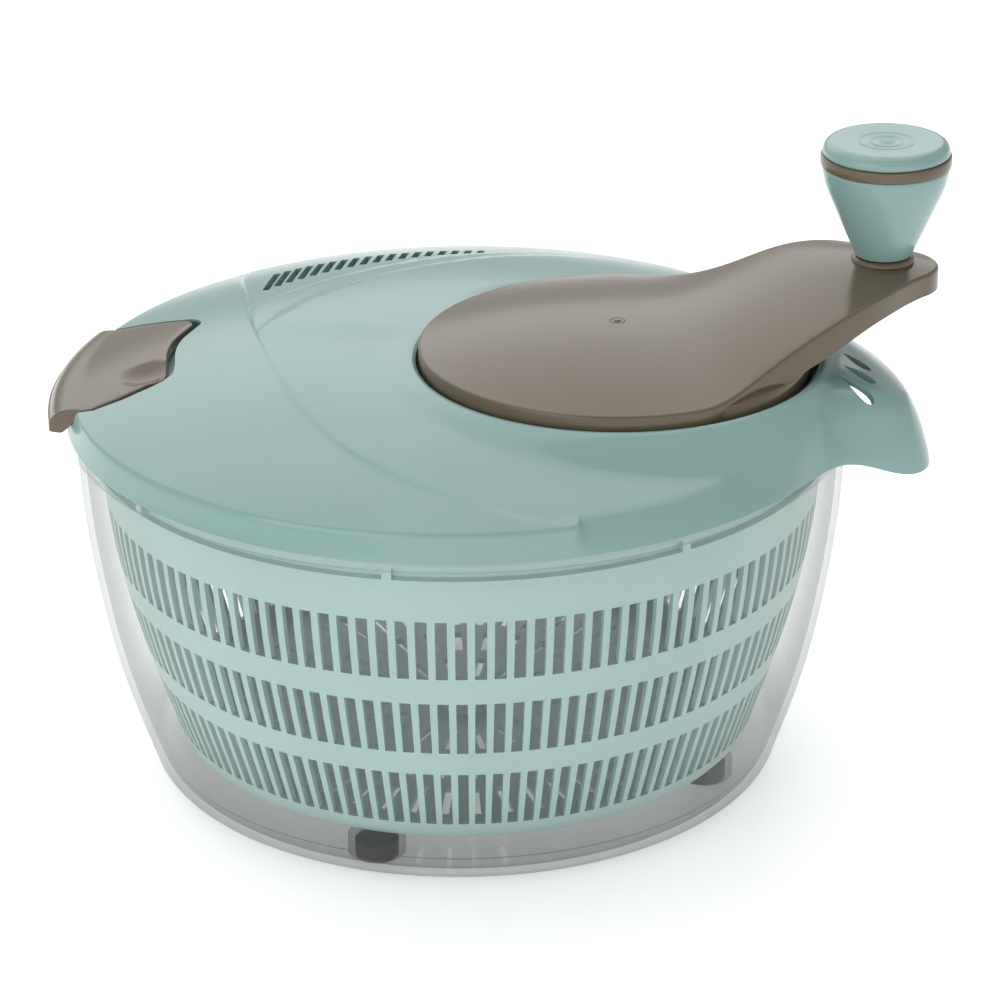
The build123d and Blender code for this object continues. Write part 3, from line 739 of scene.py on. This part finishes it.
# ---------------------------------------------------------------- lock slider
def slider_height(x, y):
    """Height of the lock's top: the dome, a rounded drop to the lip and the finger scoop."""
    r = np.hypot(x, y)
    z = dome(np.minimum(r, DOME_R))
    t = np.clip((r - 120.0) / 10.4, 0, 1)
    z = z - 6.4 * (1 - np.sqrt(np.clip(1 - t**2.6, 0, 1)))
    d2 = (x - SCOOP[0]) ** 2 + (y - SCOOP[1]) ** 2
    ball = dome(100.0) + 15.4 - np.sqrt(np.clip(SCOOP_R**2 - d2, 0, None))
    return np.where(d2 < SCOOP_R**2, np.minimum(z, ball), z)


def make_slider():
    """The lock's skin, with its side walls and the turned-in lower edge."""
    outline = resample(lock_outline(130.2, *LOCK_CLEAR), 0.9, True)
    a = np.arange(178, 211, 0.5)
    arcs = [circle(a) * r for r in (121.5, 123.5, 125.2, 126.7, 128.0, 129.0, 129.6)]
    dish = [circle(np.arange(0, 354, 7.5)) * r + SCOOP for r in (7.5, 8.8, 9.3, 9.9)]
    lines = []
    for line in arcs + dish:
        lines += clip_lines(line, outline)
    flat, tris = sheet(outline, [], lines, 1.6)
    z = slider_height(flat[:, 0], flat[:, 1])
    b = Build(np.column_stack([flat, z]), tris)
    loop = open_loops(b.f)[0]
    p = np.array([b.v[i] for i in loop])
    out = outward(p)
    r = np.hypot(p[:, 0], p[:, 1])
    lip_z = 121.0
    on_lip = smooth((r - 121.5) / 6.0)
    low = (dome(np.minimum(r, DOME_R)) - 3.4) * (1 - on_lip) + lip_z * on_lip
    for c, s in circle([22.5, 45, 67.5, 90]):
        xy = p[:, :2] + out * LOCK_EDGE_R * s
        loop = b.row(loop, np.column_stack([xy, p[:, 2] - LOCK_EDGE_R * (1 - c)]))
    loop = b.row(loop, np.column_stack([p[:, :2] + out * LOCK_EDGE_R, low]))
    b.row(loop, np.column_stack([p[:, :2] - out * LOCK_WALL, low]))
    return b


slider = piece("lock_lever", make_slider(), "lock", BROWN, ["lock_slider"])
solidify(slider, LOCK_WALL)
finish_mesh(slider, 42)


# ---------------------------------------------------------------- crank
# along the arm from the crank's axis: half width, height of the edge, crown above it, lower edge
ARM_HALF = cubic(
    [14, 20, 27, 34, 42, 50, 58, 66, 74, 80, 86, 90, 94, 97],
    [59.4, 56.2, 50.8, 45.6, 41.2, 38.2, 35.8, 32.4, 27.8, 23.4, 18.2, 14.9, 11.9, 9.7],
)
EDGE_Z = cubic(
    [-DISC_R, 0, 12, 20, 27, 34, 42, 50, 58, 66, 74, 82, 104],
    [147.5, 147.5, 147.6, 148.0, 149.2, 151.2, 154.3, 157.9, 161.4, 164.2, 165.8, 166.4, 166.5],
)
CROWN = cubic([18, 28, 36, 45, 58, 70, 80, 90, 104], [6.6, 5.4, 4.3, 3.3, 2.6, 2.5, 2.4, 2.3, 2.2])
ARM_FOOT = cubic(
    [0, 14, 20, 27, 34, 42, 50, 58, 66, 74, 86, 104],
    [138.2, 138.2, 138.6, 140.0, 142.3, 145.2, 148.6, 152.0, 155.4, 158.0, 159.4, 159.5],
)


def arm_frame(s, t):
    """A place s along the arm and t to its left, as x and y."""
    return (CRANK[0] + s * ARM_COS - t * ARM_SIN, CRANK[1] + s * ARM_SIN + t * ARM_COS)


def arm_half_plan():
    """One side of the crank's outline, from the tip round to the disc's far point, as (s, t)."""
    tip = circle(np.linspace(0, 56, 14)) * (13.5, 13.2) + (88.0, 0.0)
    s = np.arange(94, 14.5, -2.0)
    side = np.stack([s, ARM_HALF(s)], 1)
    disc = circle(np.arange(77, 181, 1.5)) * DISC_R
    return np.vstack([tip, side, disc])


HALF_PLAN = arm_half_plan()


def half_width(s):
    """Half of the crank's width at a distance along the arm."""
    order = np.argsort(HALF_PLAN[:, 0])
    return np.interp(s, HALF_PLAN[order, 0], HALF_PLAN[order, 1])


def crank_height(s, t):
    """Height of the crank's top: a domed disc that turns into the arm's low crown."""
    w = np.maximum(half_width(s), 0.5)
    u = np.clip(np.abs(t) / w, 0, 1)
    dome_crown = 7.0 * np.clip(1 - (s / 60.5) ** 2, 0, None)
    mix = smooth((s - 2) / 30)
    crown = dome_crown * (1 - mix) + CROWN(np.maximum(s, 18)) * mix
    tip = np.clip((s - 80.0) / 21.5, 0, 1)
    return EDGE_Z(s) + crown * (1 - u**2) * (1 - tip**2)


def make_crank():
    """The crank's skin in the arm's frame, with its rounded edge and its skirt, put in place."""
    mirrored = HALF_PLAN[::-1] * (1, -1)
    outline = resample(np.vstack([HALF_PLAN, mirrored[1:-1]]), 1.2, True)
    flat, tris = sheet(outline, [], [], 2.0)
    z = crank_height(flat[:, 0], flat[:, 1])
    b = Build(np.column_stack([flat, z]), tris)
    loop = open_loops(b.f)[0]
    p = np.array([b.v[i] for i in loop])
    out = outward(p)
    for c, s in circle([18, 36, 54, 72, 90]):
        xy = p[:, :2] + out * ARM_EDGE_R * s
        loop = b.row(loop, np.column_stack([xy, p[:, 2] - ARM_EDGE_R * (1 - c)]))
    foot = ARM_FOOT(np.maximum(p[:, 0], 0))
    for u in (0.33, 0.66, 1.0):
        zz = (p[:, 2] - ARM_EDGE_R) * (1 - u) + foot * u
        loop = b.row(loop, np.column_stack([p[:, :2] + out * ARM_EDGE_R, zz]))
    b.v = [arm_frame(x, y) + (z,) for x, y, z in b.v]
    return b


def crank_inside():
    """The disc's own skirt under the arm, the hub, the shaft, the knob's boss and the gate mark."""
    b = Build()
    arc = [(r, 146.0 + 7.0 * (1 - (r / 60.5) ** 2)) for r in np.linspace(0, 59.4, 24)]
    under = [(r, z - 2.2) for r, z in arc]
    skirt = [(60.8, 138.4), (60.8, 145.4), (60.3, 146.2)]
    b.lathe(skirt + arc[::-1] + under + [(58.6, 144.0), (58.6, 138.4)], 200, CRANK)
    b.lathe([(0, 133.2), (6.0, 133.2), (6.0, 139.2), (9.0, 139.2), (9.0, 151.5), (0, 151.5)], 48, CRANK)
    b.lathe([(0, 127.3), (4.6, 127.3), (4.6, 133.2), (0, 133.2)], 48, CRANK)
    boss = [(3.0, 159.0), (9.0, 159.0), (9.5, 168.2), (9.9, 168.5)]
    boss += [(9.9, 169.1), (9.6, 169.6), (8.8, 169.9), (3.0, 169.9)]
    b.lathe(boss, 96, KNOB)
    top = 154.35
    mark = [(0, top - 1), (2.9, top - 1), (2.9, top + 0.02), (2.3, top + 0.28)]
    mark += [(1.9, top + 0.05), (1.2, top + 0.05), (0.9, top + 0.5), (0, top + 0.55)]
    b.lathe(mark, 40, CRANK)
    return b


crank = piece("crank_handle", make_crank(), "crank", BROWN, ["crank_cover"])
solidify(crank, CRANK_WALL)
absorb(crank, plain("crank_in", crank_inside()))
finish_mesh(crank, 42)


# ---------------------------------------------------------------- knob
def curve_points(xs, ys, n):
    """Points along a smooth line through (xs, ys), which are both functions of chord length."""
    xs, ys = np.asarray(xs, float), np.asarray(ys, float)
    t = np.concatenate([[0], np.cumsum(np.hypot(np.diff(xs), np.diff(ys)))])
    f, g = cubic(t, xs), cubic(t, ys)
    u = np.linspace(0, t[-1], n)
    return [(float(a), float(b)) for a, b in zip(f(u), g(u))]


def make_knob_body():
    """The flared grip, hollow above the pin's head."""
    z0 = KNOB_Z
    heights = [z0 + 0.7, z0 + 8.2, z0 + 18.6, z0 + 24.4, z0 + 28.8]
    side = curve_points([9.1, 12.4, 16.9, 19.0, 19.75], heights, 34)
    outline = [(PIN_R, z0), (8.5, z0), (8.9, z0 + 0.2)] + side
    outline += [(19.6, z0 + 29.1), (18.1, z0 + 29.2), (18.1, z0 + 34), (15.9, z0 + 34)]
    outline += [(15.9, z0 + 27.3), (8.0, z0 + 12.0), (PIN_R, z0 + 12.0)]
    return Build().lathe(outline, 144, KNOB)


def make_knob_ring():
    """The band round the top of the grip."""
    z0 = KNOB_Z + 29.25
    band = [(18.15, z0), (19.8, z0), (20.25, z0 + 0.25), (20.4, z0 + 0.8)]
    band += [(20.4, z0 + 2.8), (20.25, z0 + 3.35), (19.8, z0 + 3.6), (18.15, z0 + 3.6)]
    return Build().lathe(band, 144, KNOB)


def make_knob_cap():
    """The cap: a rounded edge, a shallow dish with two fine rings and a nub in the middle."""
    z0 = KNOB_Z + 32.95
    top = z0 + 4.2
    under = [(0, top - 3.2), (13.8, top - 3.0), (14.2, z0 - 2.0), (15.8, z0 - 2.0)]
    under += [(15.8, z0 + 1.25), (18.15, z0 + 1.25), (18.15, z0)]
    edge = [(19.4, z0), (19.75, z0 + 0.3), (19.8, z0 + 0.9), (19.6, z0 + 2.1), (19.0, z0 + 3.2)]
    edge += [(18.0, z0 + 3.9), (17.0, z0 + 4.15), (16.0, top)]
    dish = [(13.0, top - 0.15), (9.6, top - 0.3), (8.4, top - 0.35)]
    rings = [(8.1, top - 0.5), (7.6, top - 0.55), (7.2, top - 0.45)]
    rings += [(5.4, top - 0.4), (5.0, top - 0.6), (3.2, top - 0.7), (2.4, top - 0.65)]
    nub = [(1.5, top - 0.3), (0.8, top - 0.15), (0, top - 0.12)]
    return Build().lathe(under + edge + dish + rings + nub, 144, KNOB)


piece("knob_grip", make_knob_body(), "knob", MINT, ["knob_body"])
piece("knob_band", make_knob_ring(), "knob", BROWN, ["knob_ring"])
piece("knob_top", make_knob_cap(), "knob", MINT, ["knob_cap"], angle=50)


# ---------------------------------------------------------------- bowl
def make_bowl():
    """The clear bowl: wall, flange, rounded bottom corner, four foot bosses and the centre spigot."""
    outer = curve_points([103.0, 112.0, 117.3, 120.9, 122.4], [10.0, 38.5, 64.0, 91.0, 116.6], 60)
    inner = [(r - BOWL_WALL, z + 0.4) for r, z in outer]
    corner = curve_points([94.0, 98.6, 101.4, 103.0], [2.0, 3.1, 5.7, 10.0], 14)
    incorner = [(r - 2.0, z + 1.9) for r, z in corner]
    outline = [(0, 2.0), (60, 2.0)] + corner + outer[1:]
    outline += [(122.6, 116.9), (124.2, 117.0), (124.8, 117.3), (125.0, 117.9), (125.0, 119.2)]
    outline += [(124.8, 119.7), (124.3, 119.95), (121.0, 120.0), (120.3, 119.6)]
    outline += inner[::-1][1:] + incorner[::-1][1:] + [(60, 4.4), (0, 4.4)]
    b = Build().lathe(outline, 240)
    boss = [(6.9, 1.2), (8.6, 1.2), (9.0, 1.6), (9.0, 7.4), (8.4, 8.0), (0, 8.0), (0, 5.8), (6.9, 5.8)]
    for spot in circle([0, 90, 180, 270]) * FEET_R:
        b.lathe(boss, 56, spot)
    b.lathe([(0, 4.4), (7.0, 4.4), (7.0, 5.6), (4.0, 5.8), (4.0, 14.4), (3.4, 15.0), (0, 15.0)], 48)
    return b


piece("bowl_clear", make_bowl(), "bowl", CLEAR, ["bowl"], merge=1e-7)


# ---------------------------------------------------------------- CAD nodes that stay
FINISH = {
    "basket": BASKET, "bowl_feet": DARK, "drive_gear": WHITE, "gear_washer": STEEL, "gear_screw": STEEL,
    "crank_bush": WHITE, "pinion": WHITE, "pinion_bush_upper": WHITE, "pinion_bush_lower": WHITE,
    "gear_housing": MINT, "housing_screws": STEEL, "drive_plate": GREY, "plate_washer": STEEL,
    "plate_screw": STEEL, "knob_pin": STEEL, "knob_washer": STEEL, "pin_clip": STEEL,
}
for name, material in FINISH.items():
    mesh = NODES[name].data
    mesh.materials.clear()
    mesh.materials.append(material)


# ---------------------------------------------------------------- stage
def stage_material(name, rgb):
    """A matt, slightly glowing white for the floor."""
    mat = bpy.data.materials.new(name)
    mat.use_nodes = True
    p = mat.node_tree.nodes["Principled BSDF"]
    p.inputs["Base Color"].default_value = (*rgb, 1)
    p.inputs["Roughness"].default_value = 0.7
    p.inputs["Emission Color"].default_value = (*rgb, 1)
    p.inputs["Emission Strength"].default_value = 0.5
    return mat


floor_mesh = bpy.data.meshes.new("floor")
FLOOR = 6.0  # half of the floor's side, metres
corners = [(x * FLOOR, y * FLOOR, 0) for x, y in ((-1, -1), (1, -1), (1, 1), (-1, 1))]
floor_mesh.from_pydata(corners, [], [(0, 1, 2, 3)])
floor_mesh.materials.append(stage_material("floor", (0.9, 0.9, 0.9)))
floor = bpy.data.objects.new("floor", floor_mesh)
bpy.context.scene.collection.objects.link(floor)


def area(name, place, target, size, power):
    """A rectangular soft light that points at a target."""
    data = bpy.data.lights.new(name, "AREA")
    data.shape = "RECTANGLE"
    data.size, data.size_y = size
    data.energy = power
    obj = bpy.data.objects.new(name, data)
    bpy.context.scene.collection.objects.link(obj)
    obj.location = place
    obj.rotation_euler = (Vector(target) - Vector(place)).to_track_quat("-Z", "Y").to_euler()


TURN = math.radians(20)  # the camera looks from -Y turned by this much


def seen(x, y, z):
    """A place given by right, away and up as the camera sees them, metres."""
    return (x * math.cos(TURN) - y * math.sin(TURN), x * math.sin(TURN) + y * math.cos(TURN), z)


area("back_top", seen(-0.5, 2.0, 1.5), (0, 0, 0.1), (3.2, 1.8), 20)
area("over", seen(-0.2, 0.5, 2.2), (0, 0, 0.1), (3.0, 1.6), 17)
area("front_left", seen(-1.3, -1.6, 0.9), (0, 0, 0.05), (1.6, 1.2), 10)
area("front_low", seen(0.3, -2.2, 0.35), (0, 0, 0.05), (2.4, 0.6), 5)

world = bpy.data.worlds.new("world")
bpy.context.scene.world = world
world.use_nodes = True
world.node_tree.nodes["Background"].inputs["Color"].default_value = (1, 1, 1, 1)
world.node_tree.nodes["Background"].inputs["Strength"].default_value = 0.54

camera_data = bpy.data.cameras.new("camera")
camera = bpy.data.objects.new("camera", camera_data)
bpy.context.scene.collection.objects.link(camera)
camera_data.sensor_width = 36.0
camera_data.lens = 141.3
camera_data.clip_end = 30
camera.location = (0.3963, -1.0889, 0.5889)
PITCH, YAW, ROLL = math.radians(23.44), math.radians(0.597), math.radians(-0.497)
ahead = Vector((math.sin(YAW) * math.cos(PITCH), math.cos(YAW) * math.cos(PITCH), -math.sin(PITCH)))
ahead = Matrix.Rotation(TURN, 3, "Z") @ ahead
upright = ahead.to_track_quat("-Z", "Y").to_matrix()
camera.rotation_euler = (upright @ Matrix.Rotation(ROLL, 3, "Z")).to_euler()
bpy.context.scene.camera = camera
bpy.context.scene.view_settings.view_transform = "Standard"
